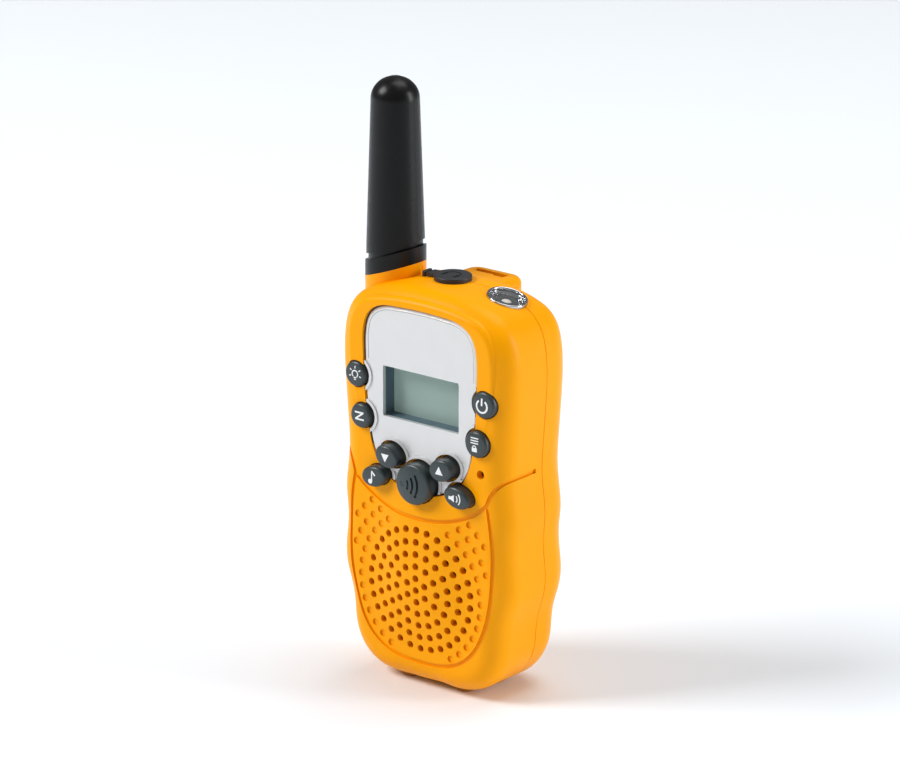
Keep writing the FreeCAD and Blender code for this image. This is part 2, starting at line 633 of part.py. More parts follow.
def cover_anchor_block():
    """The space that the strap's fixed end takes up against the aerial boss."""
    block = box(COVER_HINGE_X - 1.75, COVER_HINGE_X - 0.78, -1.5, 1.5, TOP_Z - 1.2, TOP_Z + 1.1)
    return block.makeFillet(0.3, [e for e in block.Edges
                                  if e.BoundBox.ZLength > 1.0 or e.BoundBox.ZMin > TOP_Z + 1.0])


# ---- torch --------------------------------------------------------------------------------------
def torch_reflector():
    """A chrome cup with a round bowl and a flat rim."""
    cup = Part.makeCylinder(TORCH_R, TORCH_DEPTH + 0.25, Vec(0, 0, -TORCH_DEPTH))
    cup = cup.makeFillet(0.2, [e for e in cup.Edges if e.BoundBox.ZMin > 0.2])
    bowl = Part.makeCone(1.6, 4.3, 5.0, Vec(0, 0, -4.9))
    ledge = Part.makeCylinder(4.45, 1.0, Vec(0, 0, -0.75))
    stem = Part.makeCylinder(1.3, 3.0, Vec(0, 0, -TORCH_DEPTH - 0.1))
    return torch_frame(cup.cut(bowl).cut(ledge).cut(stem))


def torch_lens():
    """The clear disc in the torch's rim."""
    return torch_frame(Part.makeCylinder(4.4, 0.75, Vec(0, 0, -0.73)))


def torch_lamp():
    """The lamp: a domed clear body in the bottom of the bowl."""
    body = Part.makeCylinder(1.25, 3.2, Vec(0, 0, -TORCH_DEPTH + 0.1))
    tip = Part.makeSphere(1.25, Vec(0, 0, -TORCH_DEPTH + 3.3))
    return torch_frame(body.fuse(tip).removeSplitter())


# ---- aerial -------------------------------------------------------------------------------------
def aerial_collar():
    """The collar and neck on the boss, with the stub that goes down into it."""
    x, y = AERIAL
    ring = rod_z(x, y, COLLAR_R, COLLAR_Z - 10, COLLAR_Z + 20)
    ring = ring.common(above_slant(COLLAR_Z, COLLAR_T * math.cos(math.atan(RIM_SLOPE))))
    neck = rod_z(x, y, NECK_R, COLLAR_Z, COLLAR_Z + 20)
    top = COLLAR_Z + COLLAR_T + NECK_T
    neck = neck.common(above_slant(COLLAR_Z + 1.0, 60.0)).cut(above_slant(top, 60.0))
    stub = rod_z(x, y, STUB_R, COLLAR_Z - STUB_DEPTH, COLLAR_Z + 3.0)
    collar = ring.fuse([neck, stub]).removeSplitter()
    return one_solid(collar.cut(rod_z(x, y, 2.05, 80, 130)))


def aerial_sheath():
    """The soft moulded sheath: a tapered tube with a domed tip and a slanted foot."""
    x, y = AERIAL
    dome_z = HEIGHT - AERIAL_TIP_R * 0.92
    profile = [Vec(x, y, 95.0), Vec(x + AERIAL_R, y, 95.0), Vec(x + AERIAL_R, y, 106.0)]
    side = [Part.makeLine(profile[0], profile[1]), Part.makeLine(profile[1], profile[2]),
            Part.makeLine(profile[2], Vec(x + AERIAL_TIP_R, y, dome_z))]
    curve = Part.BSplineCurve()
    tip = [Vec(x + AERIAL_TIP_R * math.cos(math.radians(a)), y,
               dome_z + (HEIGHT - dome_z) * math.sin(math.radians(a))) for a in range(0, 91, 15)]
    curve.interpolate(Points=tip, InitialTangent=Vec(-0.02, 0, 1), FinalTangent=Vec(-1, 0, 0))
    side.append(curve.toShape())
    side.append(Part.makeLine(tip[-1], profile[0]))
    solid = Part.Face(Part.Wire(side)).revolve(Vec(x, y, 0), Vec(0, 0, 1), 360)
    solid = Part.Solid(solid.Shells[0]) if not solid.Solids else solid.Solids[0]
    foot = COLLAR_Z + COLLAR_T + NECK_T
    solid = one_solid(solid.common(above_slant(foot, 120.0)))
    return solid.cut(rod_z(x, y, 2.3, 90, 140))


def aerial_rod():
    """The aerial's core, from the board's level to near the tip."""
    return rod_z(AERIAL[0], AERIAL[1], 2.0, COLLAR_Z - STUB_DEPTH - 1.0, 139.0)


# ---- batteries ----------------------------------------------------------------------------------
def cell_places():
    """The x of each of the four cells."""
    return [CELL_PITCH * (i - 1.5) for i in range(4)]


def battery(x, flipped):
    """One AAA cell with its small end up, or down if flipped."""
    low = CELL_Z + (0.8 if flipped else 0.0)
    high = CELL_Z + CELL_L - (0.0 if flipped else 0.8)
    can = rod_z(x, CELL_Y, CELL_R, low, high)
    can = can.makeFillet(0.5, [e for e in can.Edges if e.BoundBox.ZLength < 0.01])
    nub_z = CELL_Z if flipped else CELL_Z + CELL_L - 0.9
    nub = rod_z(x, CELL_Y, 1.9, nub_z, nub_z + 0.9)
    return can.fuse(nub).removeSplitter()


def contacts(wall_z, cell_z):
    """The folded contact leaves at one end of the compartment."""
    leaves = []
    y0, y1 = CELL_Y - 3.6, CELL_Y + 2.4
    into = 1.0 if cell_z > wall_z else -1.0
    for x in cell_places():
        levels = sorted([wall_z, wall_z + CONTACT_T * into])
        foot_leaf = box(x - 3.4, x + 3.4, y0, y1, levels[0], levels[1])
        levels = sorted([cell_z, cell_z - CONTACT_T * into])
        cell_leaf = box(x - 3.4, x + 3.4, y0, y1, levels[0], levels[1])
        levels = sorted([wall_z, cell_z])
        fold = box(x - 3.4, x + 3.4, y0, y0 + CONTACT_T, levels[0], levels[1])
        leaves.append(foot_leaf.fuse([cell_leaf, fold]).removeSplitter())
    return leaves


def battery_door(outer, cavity):
    """The door over the cells: a piece of the back wall with a round lower edge that it tilts on."""
    plate = rounded(-DOOR_HALF_W, DOOR_HALF_W, DOOR_Z[0], DOOR_Z[1], DOOR_CORNER_R)
    door = prism_y(plate, CELL_Y, FAR).common(outer).cut(cavity)
    r = WALL / 2
    half = DOOR_HALF_W - DOOR_CORNER_R
    edge = Part.makeCylinder(r, 2 * half, Vec(-half, BACK_Y - r, DOOR_Z[0] + r), Vec(1, 0, 0))
    door = door.cut(box(-half, half, 0, FAR, 0, DOOR_Z[0] + r)).fuse(edge)
    for i in range(5):
        z = DOOR_Z[1] - 5.0 - 1.6 * i
        half = 6.0 - 0.6 * i
        door = door.cut(box(-half, half, BACK_Y - 0.5, BACK_Y + 1.0, z - 0.4, z + 0.4))
    return one_solid(door)


# ---- fasteners and feet -------------------------------------------------------------------------
def screw(x, z):
    """One housing screw, from the counterbore into the front post."""
    y = BACK_Y - 4.0
    head = rod_y(x, z, 1.8, y, y + 1.6)
    shank = rod_y(x, z, SCREW_R - 0.02, -4.0, y)
    slot = box(x - 1.1, x + 1.1, y + 0.9, y + 2.0, z - 0.2, z + 0.2)
    cross = box(x - 0.2, x + 0.2, y + 0.9, y + 2.0, z - 1.1, z + 1.1)
    return head.fuse(shank).cut(slot.fuse(cross)).removeSplitter()


def foot_places():
    """The x and y of the four pads."""
    return [(side * FOOT_X, y) for side in (-1, 1) for y in FOOT_Y]


def foot(x, y):
    """One rubber pad under the shells."""
    pad = rod_z(x, y, FOOT_R, 0.0, BASE_Z + FOOT_RECESS)
    return pad.makeFillet(0.3, [e for e in pad.Edges if e.BoundBox.ZMax < 0.01])


# ---- the radio ----------------------------------------------------------------------------------
def build():
    """Every node by name: a shape, or a list of separate solids."""
    casing, outer, cavity = whole_casing()
    casing = casing.cut(parting_seam())
    nodes = {
        "front_shell": front_shell(casing, cavity),
        "rear_shell": rear_shell(casing, cavity),
        "display_panel": display_panel(),
        "display_frame": display_frame(),
        "display_lens": display_lens(),
        "display_glass": display_layer(LCD_FACE_Y, LCD_FACE_Y + 1.2),
        "display_backlight": display_layer(LCD_FACE_Y + 1.2, BOARD_FACE_Y),
        "keypad_mat": keypad_mat(),
        "dome_switches": dome_switches(),
        "main_board": main_board(),
        "board_chips": board_chips(),
        "speaker_frame": speaker_frame(),
        "speaker_cone": speaker_cone(),
        "speaker_magnet": rod_y(0, GRILLE_Z, 8.5, -6.3, -2.2),
        "microphone": rod_y(18.3, 58.7, 2.2, FRONT_Y + WALL + 0.7, FRONT_Y + WALL + 3.0),
        "headset_jack": headset_jack(),
        "jack_cover": jack_cover(),
        "jack_cover_anchor": cover_anchor_block(),
        "torch_reflector": torch_reflector(),
        "torch_lens": torch_lens(),
        "torch_lamp": torch_lamp(),
        "aerial_collar": aerial_collar(),
        "aerial_sheath": aerial_sheath(),
        "aerial_rod": aerial_rod(),
        "battery_door": battery_door(outer, cavity),
        "contacts_top": contacts(TRAY_Z[1], CELL_Z + CELL_L),
        "contacts_bottom": contacts(TRAY_Z[0], CELL_Z),
        "housing_screws": [screw(x, z) for x, z in SCREWS],
        "feet": [foot(x, y) for x, y in foot_places()],
    }
    for name, x, z, face_y, half_w, half_h, tilt in KEYS:
        nodes[name] = key(name, x, z, face_y, half_w, half_h, tilt)
    for i, x in enumerate(cell_places()):
        nodes["battery_%d" % (i + 1)] = battery(x, i % 2 == 1)
    return nodes


def main():
    """Writes one STEP file per node."""
    os.makedirs("parts", exist_ok=True)
    for name, shape in build().items():
        if isinstance(shape, list):
            shape = Part.makeCompound(shape)
        shape.translate(Vec(0, CENTRE_SHIFT_Y, 0))
        shape.exportStep("parts/%s.step" % name)
        print(name, "valid" if shape.isValid() else "INVALID", len(shape.Solids), round(shape.Volume, 1))


main()
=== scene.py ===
"""Looks for the hand-held two way radio: finishes, key symbols, panel edge, torch and stage."""

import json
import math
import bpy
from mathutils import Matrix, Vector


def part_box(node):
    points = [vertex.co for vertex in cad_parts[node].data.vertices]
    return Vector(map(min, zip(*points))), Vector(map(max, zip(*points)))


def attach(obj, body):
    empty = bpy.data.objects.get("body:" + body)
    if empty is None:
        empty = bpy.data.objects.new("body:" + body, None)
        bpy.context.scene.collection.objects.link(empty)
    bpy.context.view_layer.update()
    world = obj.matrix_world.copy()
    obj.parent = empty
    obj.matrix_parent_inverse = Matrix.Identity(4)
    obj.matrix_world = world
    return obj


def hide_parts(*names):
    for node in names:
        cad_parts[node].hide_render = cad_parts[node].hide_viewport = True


bl_info = {
    "name": "Two Way Radio",
    "version": (1, 0, 0),
    "blender": (4, 5, 0),
    "location": "View3D > Sidebar > Radio",
    "description": "Finishes and fine pieces for a hand-held two way radio",
    "category": "Object",
}

import bmesh
import bpy
from bpy.props import FloatProperty, FloatVectorProperty, IntProperty, PointerProperty
from mathutils import Matrix, Vector

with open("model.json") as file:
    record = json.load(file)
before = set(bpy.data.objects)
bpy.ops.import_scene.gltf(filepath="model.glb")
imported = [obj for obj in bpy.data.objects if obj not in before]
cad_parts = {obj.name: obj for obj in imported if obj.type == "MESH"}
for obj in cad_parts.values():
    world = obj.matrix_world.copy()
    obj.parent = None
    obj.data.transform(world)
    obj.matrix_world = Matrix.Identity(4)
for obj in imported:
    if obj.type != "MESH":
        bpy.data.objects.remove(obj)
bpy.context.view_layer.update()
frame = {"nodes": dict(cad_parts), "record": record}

MM = 0.001
ROOT = "body"

KEY_DOME_R = 17.0 * MM         # the sphere that the keys' faces are part of
SYMBOL_LIFT = 0.015 * MM       # clear of the key's face, so the two never share a surface
MARK_EDGE = 0.45               # mm, the longest edge in a mark, so that it follows the dome

# The right half of the panel's edge, as x and z in mm: above the power key, and below the menu key.
PANEL_TOP = ((17.12, 80.9), (17.14, 84.5), (17.05, 88.0), (15.6, 92.2), (12.2, 94.6), (6.5, 95.4),
             (0.0, 95.6))
PANEL_LOW = ((15.5, 62.4), (14.7, 59.7))
PANEL_RIM_RISE = 0.35 * MM     # the rims round the keys, over the panel's flat face

TORCH_TILT = 15.0              # degrees that the torch leans over to the right
TORCH_LENS_DEPTH = 0.355 * MM  # from the torch's rim plane down to the middle of its clear disc

# The torch's turned pieces, as closed outlines of radius and height in mm over the rim plane.
RIM_OUTLINE = ((4.42, -0.72), (4.42, 0.0), (4.5, 0.12), (4.65, 0.2), (4.82, 0.2), (4.95, 0.12),
               (4.99, 0.0), (4.99, -0.72))
COLLAR_OUTLINE = ((1.5, -1.9), (1.5, -0.95), (1.62, -0.8), (2.42, -0.8), (2.54, -0.95),
                  (2.54, -1.9))
DOME_OUTLINE = ((0.001, -1.9), (0.001, -0.8), (0.45, -0.84), (0.85, -0.96), (1.2, -1.16),
                (1.4, -1.42), (1.48, -1.9))
CUP_OUTLINE = ((0.001, -2.3), (0.001, -2.2), (0.5, -2.15), (1.3, -1.95), (1.6, -1.92), (1.6, -2.3))
BOWL_RINGS = 3                 # rings of facets, each one narrower and deeper than the last
BOWL_MOUTH = (4.35, -0.75)
BOWL_BACK = ((2.58, -1.9), (2.58, -6.5), (4.8, -6.5), (4.8, -0.75))

# Places are an azimuth and an elevation in degrees round AIM, and a distance in metres.
AIM = Vector((-3.25, 1.795, 73.26)) * MM
CAMERA_PLACE = (38.83, 17.83, 1.202)
CAMERA_LENS = 200.0            # focal length in mm
SENSOR_WIDTH = 36.0            # mm
LIGHTS = (                     # name, place, width and height in metres, power in watts
    ("key_light", (-46.0, 40.0, 1.9), 0.8, 0.8, 30.0),
    ("side_light", (118.0, 14.0, 1.4), 0.4, 1.0, 12.0),
    ("top_light", (170.0, 72.0, 1.8), 1.2, 1.2, 15.0),
)
SURROUND_STRENGTH = 0.22       # of the white surroundings
FLOOR_R = 3.0                  # metres


# ---- node helpers -------------------------------------------------------------------------------
class Finish:
    """A material under construction, with short ways to add nodes that read Object coordinates."""

    def __init__(self, name, colour, roughness, **sockets):
        self.material = bpy.data.materials.new(name)
        self.material.use_nodes = True
        self.tree = self.material.node_tree
        self.shader = self.tree.nodes["Principled BSDF"]
        self.shader.inputs["Base Color"].default_value = (*colour, 1.0)
        self.shader.inputs["Roughness"].default_value = roughness
        for socket, value in sockets.items():
            self.shader.inputs[socket.replace("_", " ")].default_value = value
        self.coords = self.tree.nodes.new("ShaderNodeTexCoord").outputs["Object"]

    def node(self, kind, **values):
        """A new node with its inputs or settings given by name."""
        node = self.tree.nodes.new(kind)
        for key, value in values.items():
            socket = key.replace("_", " ")
            if socket in node.inputs:
                node.inputs[socket].default_value = value
            else:
                setattr(node, key, value)
        return node

    def link(self, source, target):
        """Joins an output to an input."""
        self.tree.links.new(source, target)

    def noise(self, size, detail=3.0, stretch=None):
        """Noise whose grains are about size metres across."""
        node = self.node("ShaderNodeTexNoise", Scale=1.0 / size, Detail=detail, Roughness=0.55)
        where = self.coords
        if stretch:
            mapping = self.node("ShaderNodeMapping")
            mapping.inputs["Scale"].default_value = stretch
            self.link(where, mapping.inputs["Vector"])
            where = mapping.outputs["Vector"]
        self.link(where, node.inputs["Vector"])
        return node.outputs["Fac"]

    def ramp(self, value, low, high, start=0.3, end=0.7):
        """A value turned into a colour between low and high."""
        node = self.node("ShaderNodeValToRGB")
        node.color_ramp.elements[0].position = start
        node.color_ramp.elements[0].color = (*low, 1.0)
        node.color_ramp.elements[1].position = end
        node.color_ramp.elements[1].color = (*high, 1.0)
        self.link(value, node.inputs["Fac"])
        return node.outputs["Color"]

    def span(self, value, low, high):
        """A value of 0.3 to 0.7 spread from low to high."""
        node = self.node("ShaderNodeMapRange")
        ends = {"From Min": 0.3, "From Max": 0.7, "To Min": low, "To Max": high}
        for socket, number in ends.items():
            node.inputs[socket].default_value = number
        self.link(value, node.inputs["Value"])
        return node.outputs["Result"]

    def tone(self, size, low, high):
        """A slow drift in colour over the piece."""
        self.link(self.ramp(self.noise(size), low, high), self.shader.inputs["Base Color"])
        return self

    def polish(self, size, low, high):
        """A drift in roughness."""
        self.link(self.span(self.noise(size, 4.0), low, high), self.shader.inputs["Roughness"])
        return self

    def grain(self, height_value, strength, depth):
        """Fine relief, depth metres deep."""
        bump = self.node("ShaderNodeBump", Strength=strength, Distance=depth)
        self.link(height_value, bump.inputs["Height"])
        self.link(bump.outputs["Normal"], self.shader.inputs["Normal"])
        return self


def scaled(colour, factor):
    """A colour made lighter or darker."""
    return tuple(min(1.0, c * factor) for c in colour)


# ---- finishes -----------------------------------------------------------------------------------
def shell_plastic(colour):
    """Satin moulded plastic with a fine spark-eroded surface."""
    made = Finish("shell_plastic", colour, 0.4, Specular_IOR_Level=0.1)
    made.tone(0.03, scaled(colour, 0.97), scaled(colour, 1.03))
    made.polish(0.004, 0.30, 0.38)
    return made.grain(made.noise(0.00035, 4.0), 0.07, 0.00002).material


def panel_paint(colour):
    """Silver-white paint, clouded very slightly by its metal flakes, under a clear coat."""
    made = Finish("panel_paint", colour, 0.32, Metallic=0.3, Coat_Weight=0.2, Coat_Roughness=0.15)
    return made.tone(0.004, scaled(colour, 0.985), scaled(colour, 1.015)).material


def soft_rubber(name, colour, roughness, grain_size, depth, gloss=0.5):
    """Moulded rubber with a fine even texture."""
    made = Finish(name, colour, roughness, Specular_IOR_Level=gloss)
    made.tone(0.006, scaled(colour, 0.88), scaled(colour, 1.12))
    made.polish(0.0015, roughness - 0.05, roughness + 0.05)
    return made.grain(made.noise(grain_size, 5.0), 0.22, depth).material


def hard_plastic(name, colour, roughness):
    """Plain moulded plastic."""
    made = Finish(name, colour, roughness)
    made.tone(0.01, scaled(colour, 0.92), scaled(colour, 1.08))
    return made.grain(made.noise(0.0003, 4.0), 0.12, 0.00002).material


def brushed_metal(name, colour, roughness, stretch):
    """Metal with fine drawn lines."""
    made = Finish(name, colour, roughness, Metallic=1.0)
    lines = made.noise(0.0004, 5.0, stretch)
    drawn = made.ramp(lines, scaled(colour, 0.85), scaled(colour, 1.1))
    made.link(drawn, made.shader.inputs["Base Color"])
    made.link(made.span(lines, roughness - 0.06, roughness + 0.1), made.shader.inputs["Roughness"])
    return made.grain(lines, 0.1, 0.00001).material


def chrome_plate(colour):
    """Bright plating with faint flow marks."""
    made = Finish("chrome_plate", colour, 0.06, Metallic=1.0)
    made.polish(0.002, 0.03, 0.10)
    return made.grain(made.noise(0.0012, 2.0), 0.05, 0.00002).material


def display_film(colour):
    """Liquid crystal film with a faint glow, painted light that lifts it out of the shade of its
    well, a little lighter towards the top.
    """
    # The faint emission is painted light: a glow that brightens the film in the shade of its well.
    made = Finish("display_film", colour, 0.34, Specular_IOR_Level=0.4, Coat_Weight=0.4,
                  Coat_Roughness=0.05, Emission_Color=(*colour, 1.0), Emission_Strength=0.09)
    low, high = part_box("display_lens")
    split = made.node("ShaderNodeSeparateXYZ")
    made.link(made.coords, split.inputs["Vector"])
    rise = made.node("ShaderNodeMapRange")
    rise.inputs["From Min"].default_value = low.z
    rise.inputs["From Max"].default_value = high.z
    made.link(split.outputs["Z"], rise.inputs["Value"])
    shade = made.ramp(rise.outputs["Result"], scaled(colour, 0.92), scaled(colour, 1.08), 0.0, 1.0)
    speck = made.ramp(made.noise(0.00025, 2.0), (0.96, 0.96, 0.96), (1.0, 1.0, 1.0))
    both = made.node("ShaderNodeMix", data_type="RGBA", blend_type="MULTIPLY")
    both.inputs["Factor"].default_value = 1.0
    made.link(shade, both.inputs["A"])
    made.link(speck, both.inputs["B"])
    made.link(both.outputs["Result"], made.shader.inputs["Base Color"])
    return made.grain(made.noise(0.0002, 2.0), 0.05, 0.00001).material


def clear_plastic(name, colour, alpha):
    """Thin clear plastic: mostly see-through, with a polished surface."""
    made = Finish(name, colour, 0.04, Alpha=alpha, IOR=1.49)
    made.polish(0.003, 0.02, 0.07)
    return made.material


def circuit_board(colour):
    """Solder mask with a hint of tracks."""
    made = Finish("circuit_board", colour, 0.35)
    cells = made.node("ShaderNodeTexVoronoi", Scale=1.0 / 0.0022, distance="CHEBYCHEV")
    made.link(made.coords, cells.inputs["Vector"])
    made.link(made.ramp(cells.outputs["Distance"], scaled(colour, 1.5), colour, 0.06, 0.12),
              made.shader.inputs["Base Color"])
    return made.grain(cells.outputs["Distance"], 0.2, 0.00003).material


def cell_can(colour):
    """A printed steel can with a bare metal end band."""
    made = Finish("cell_can", colour, 0.3, Metallic=0.6)
    low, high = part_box("battery_1")
    split = made.node("ShaderNodeSeparateXYZ")
    made.link(made.coords, split.inputs["Vector"])
    rise = made.node("ShaderNodeMapRange")
    rise.inputs["From Min"].default_value = low.z
    rise.inputs["From Max"].default_value = high.z
    made.link(split.outputs["Z"], rise.inputs["Value"])
    made.link(made.ramp(rise.outputs["Result"], colour, (0.62, 0.45, 0.2), 0.7, 0.71),
              made.shader.inputs["Base Color"])
    return made.grain(made.noise(0.0006), 0.05, 0.00002).material


def symbol_ink(colour):
    """Opaque printing ink, slightly uneven."""
    made = Finish("symbol_ink", colour, 0.5)
    made.tone(0.0006, scaled(colour, 0.93), colour)
    return made.grain(made.noise(0.0002, 3.0), 0.1, 0.00001).material


def finishes(looks):
    """Each of the record's slots, with the material that it shows."""
    keys = tuple(looks.key_colour)
    aerial = tuple(looks.aerial_colour)
    cover = tuple(looks.cover_colour)
    return {
        "shell": shell_plastic(tuple(looks.shell_colour)),
        "panel": panel_paint(tuple(looks.panel_colour)),
        "dark_frame": hard_plastic("well_plastic", (0.085, 0.14, 0.175), 0.4),
        "clear_lens": clear_plastic("clear_window", (0.55, 0.58, 0.6), 0.06),
        "display": display_film(tuple(looks.display_colour)),
        "white_sheet": hard_plastic("light_guide", (0.75, 0.77, 0.75), 0.4),
        "dark_rubber": soft_rubber("mat_rubber", (0.02, 0.02, 0.022), 0.6, 0.0003, 0.00003),
        "steel": brushed_metal("plated_steel", (0.62, 0.62, 0.64), 0.3, (1.0, 1.0, 8.0)),
        "board": circuit_board((0.01, 0.09, 0.03)),
        "chip": hard_plastic("chip_resin", (0.015, 0.015, 0.016), 0.55),
        "paper": soft_rubber("cone_paper", (0.02, 0.018, 0.016), 0.85, 0.0005, 0.00008),
        "magnet": brushed_metal("magnet_steel", (0.3, 0.3, 0.31), 0.4, (1.0, 8.0, 1.0)),
        "cover_rubber": soft_rubber("cover_rubber", cover, 0.48, 0.0003, 0.00003, 0.35),
        "chrome": chrome_plate((0.55, 0.55, 0.57)),
        "lamp": clear_plastic("lamp_resin", (1.0, 0.98, 0.92), 0.6),
        "aerial_black": soft_rubber("aerial_rubber", aerial, 0.32, 0.00035, 0.00002, 0.22),
        "screw_steel": brushed_metal("screw_steel", (0.42, 0.42, 0.44), 0.35, (6.0, 1.0, 1.0)),
        # The feet's colour is a darkened copy of the shell orange: painted shade under the body.
        "foot_rubber": soft_rubber("foot_rubber", (0.42, 0.15, 0.006), 0.6, 0.0003, 0.00004),
        "key_grey": soft_rubber("key_rubber", keys, 0.36, 0.0003, 0.000015),
        "cell": cell_can((0.05, 0.11, 0.3)),
    }


# ---- drawing with bmesh -------------------------------------------------------------------------
class Drawing:
    """A flat mark, drawn in mm on its own x and y, that then becomes a thin solid."""

    def __init__(self):
        self.bm = bmesh.new()

    def dot(self, x, y, radius):
        """A filled circle."""
        bmesh.ops.create_circle(self.bm, cap_ends=True, segments=32, radius=radius,
                                matrix=Matrix.Translation((x, y, 0)))

    def wedge(self, x, y, radius, turn):
        """A filled triangle with its tip turned anticlockwise from straight up."""
        place = Matrix.Translation((x, y, 0)) @ Matrix.Rotation(math.radians(turn), 4, "Z")
        bmesh.ops.create_circle(self.bm, cap_ends=True, segments=3, radius=radius, matrix=place)

    def bar(self, start, end, width):
        """A straight stroke."""
        a, b = Vector((*start, 0)), Vector((*end, 0))
        along = b - a
        turn = Matrix.Rotation(math.atan2(along.y, along.x), 4, "Z")
        place = Matrix.Translation((a + b) / 2) @ turn
        size = Matrix.Diagonal((along.length / 2, width / 2, 1, 1))
        bmesh.ops.create_grid(self.bm, x_segments=6, y_segments=1, size=1.0, matrix=place @ size)

    def arc(self, x, y, radius, width, start, sweep):
        """A round stroke from start degrees through sweep degrees."""
        a = math.radians(start)
        out = Vector((math.cos(a), math.sin(a), 0))
        centre = Vector((x, y, 0))
        ends = [self.bm.verts.new(centre + out * (radius + side * width / 2)) for side in (-1, 1)]
        edge = self.bm.edges.new(ends)
        bmesh.ops.spin(self.bm, geom=ends + [edge], cent=centre, axis=(0, 0, 1),
                       angle=math.radians(sweep), steps=24)

    def solid(self, name, place):
        """The mark as a solid one unit thick, laid on its key by the function place."""
        bm = self.bm
        bmesh.ops.remove_doubles(bm, verts=bm.verts, dist=1e-5)
        bmesh.ops.triangulate(bm, faces=bm.faces)
        for _ in range(2):
            wide = [edge for edge in bm.edges if edge.calc_length() > MARK_EDGE]
            bmesh.ops.subdivide_edges(bm, edges=wide, cuts=1, use_grid_fill=True)
            bmesh.ops.triangulate(bm, faces=bm.faces)
        bmesh.ops.recalc_face_normals(bm, faces=bm.faces)
        for face in bm.faces:
            if face.normal.z < 0:
                face.normal_flip()
        lower = list(bm.faces)
        raised = bmesh.ops.extrude_face_region(bm, geom=lower, use_keep_orig=True)
        top = [v for v in raised["geom"] if isinstance(v, bmesh.types.BMVert)]
        bmesh.ops.translate(bm, verts=top, vec=(0, 0, 1))
        bmesh.ops.reverse_faces(bm, faces=lower)
        for vert in bm.verts:
            vert.co = place(vert.co)
        bmesh.ops.recalc_face_normals(bm, faces=bm.faces)
        return as_object(name, bm)


def as_object(name, bm):
    """A finished bmesh as an object at the origin."""
    mesh = bpy.data.meshes.new(name)
    bm.to_mesh(mesh)
    bm.free()
    obj = bpy.data.objects.new(name, mesh)
    bpy.context.scene.collection.objects.link(obj)
    return obj


def turned(name, profile, steps, place):
    """A ring-shaped solid: a closed outline of (radius, height) in mm, spun in steps facets."""
    bm = bmesh.new()
    verts = [bm.verts.new((radius, 0.0, height)) for radius, height in profile]
    edges = [bm.edges.new((verts[i - 1], verts[i])) for i in range(len(verts))]
    bmesh.ops.spin(bm, geom=verts + edges, cent=(0, 0, 0), axis=(0, 0, 1), angle=math.tau,
                   steps=steps, use_merge=True)
    bmesh.ops.remove_doubles(bm, verts=bm.verts, dist=1e-4)
    bmesh.ops.recalc_face_normals(bm, faces=bm.faces)
    bmesh.ops.transform(bm, matrix=place @ Matrix.Scale(MM, 4), verts=bm.verts)
    return as_object(name, bm)


def strand(name, points, radius):
    """A round strand along a smooth line, as a mesh."""
    line = bpy.data.curves.new(name, "CURVE")
    line.dimensions = "3D"
    line.bevel_depth = radius
    line.bevel_resolution = 3
    line.use_fill_caps = True
    spline = line.splines.new("BEZIER")
    spline.bezier_points.add(len(points) - 1)
    for knot, point in zip(spline.bezier_points, points):
        knot.co = point
        knot.handle_left_type = knot.handle_right_type = "AUTO"
    holder = bpy.data.objects.new(name, line)
    bm = bmesh.new()
    bm.from_mesh(holder.to_mesh())
    holder.to_mesh_clear()
    bpy.data.objects.remove(holder)
    bpy.data.curves.remove(line)
    bmesh.ops.remove_doubles(bm, verts=bm.verts, dist=1e-7)
    bmesh.ops.recalc_face_normals(bm, faces=bm.faces)
    return as_object(name, bm)


def moved_in(points, inset):
    """Points of a clockwise outline, seen from the front, moved in by inset."""
    moved = []
    for i, point in enumerate(points):
        along = points[min(i + 1, len(points) - 1)] - points[max(i - 1, 0)]
        moved.append(point + Vector((along.z, 0, -along.x)).normalized() * inset)
    return moved


def smooth(obj, angle=40.0):
    """Smooth shading, with edges sharper than angle degrees kept sharp."""
    mesh = obj.data
    mesh.shade_smooth()
    mesh.set_sharp_from_angle(angle=math.radians(angle))


def dress(obj, material, slot, body):
    """Gives a new piece its material and the body that it rides on; slot is not used."""
    obj.data.materials.clear()
    obj.data.materials.append(material)
    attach(obj, body)


# ---- key symbols --------------------------------------------------------------------------------
def draw_lamp(mark):
    """A bulb with rays."""
    mark.arc(0.0, 0.15, 0.85, 0.3, -50, 280)
    mark.bar((-0.42, -0.75), (0.42, -0.75), 0.28)
    mark.bar((-0.3, -1.2), (0.3, -1.2), 0.26)
    for turn in (-20, 35, 90, 145, 200):
        a = math.radians(turn)
        ray = Vector((math.cos(a), math.sin(a)))
        mark.bar(ray * 1.35 + Vector((0, 0.15)), ray * 1.95 + Vector((0, 0.15)), 0.28)


def draw_scan(mark):
    """A zigzag sweep."""
    mark.bar((-1.4, 0.95), (1.3, 0.95), 0.42)
    mark.bar((1.2, 0.95), (-1.2, -0.75), 0.42)
    mark.bar((-1.3, -0.75), (1.4, -0.75), 0.42)


def draw_down(mark):
    """A triangle that points down."""
    mark.wedge(0.0, 0.15, 1.35, 180)


def draw_up(mark):
    """A triangle that points up."""
    mark.wedge(0.0, -0.15, 1.35, 0)


def draw_call(mark):
    """A musical note."""
    mark.dot(-0.55, -1.15, 0.62)
    mark.bar((-0.05, -1.15), (-0.05, 1.55), 0.32)
    mark.bar((-0.05, 1.42), (0.95, 0.5), 0.42)


def draw_power(mark):
    """An open ring with an upright bar."""
    mark.arc(0.0, -0.15, 1.55, 0.48, 125, 290)
    mark.bar((0.0, 0.0), (0.0, 1.8), 0.48)


def draw_menu(mark):
    """Three lines over a padlock."""
    for row in range(3):
        mark.bar((-1.15, 1.75 - 0.62 * row), (1.15, 1.75 - 0.62 * row), 0.28)
    mark.bar((-0.75, -1.15), (0.75, -1.15), 1.05)
    mark.arc(0.0, -0.6, 0.48, 0.25, 0, 180)


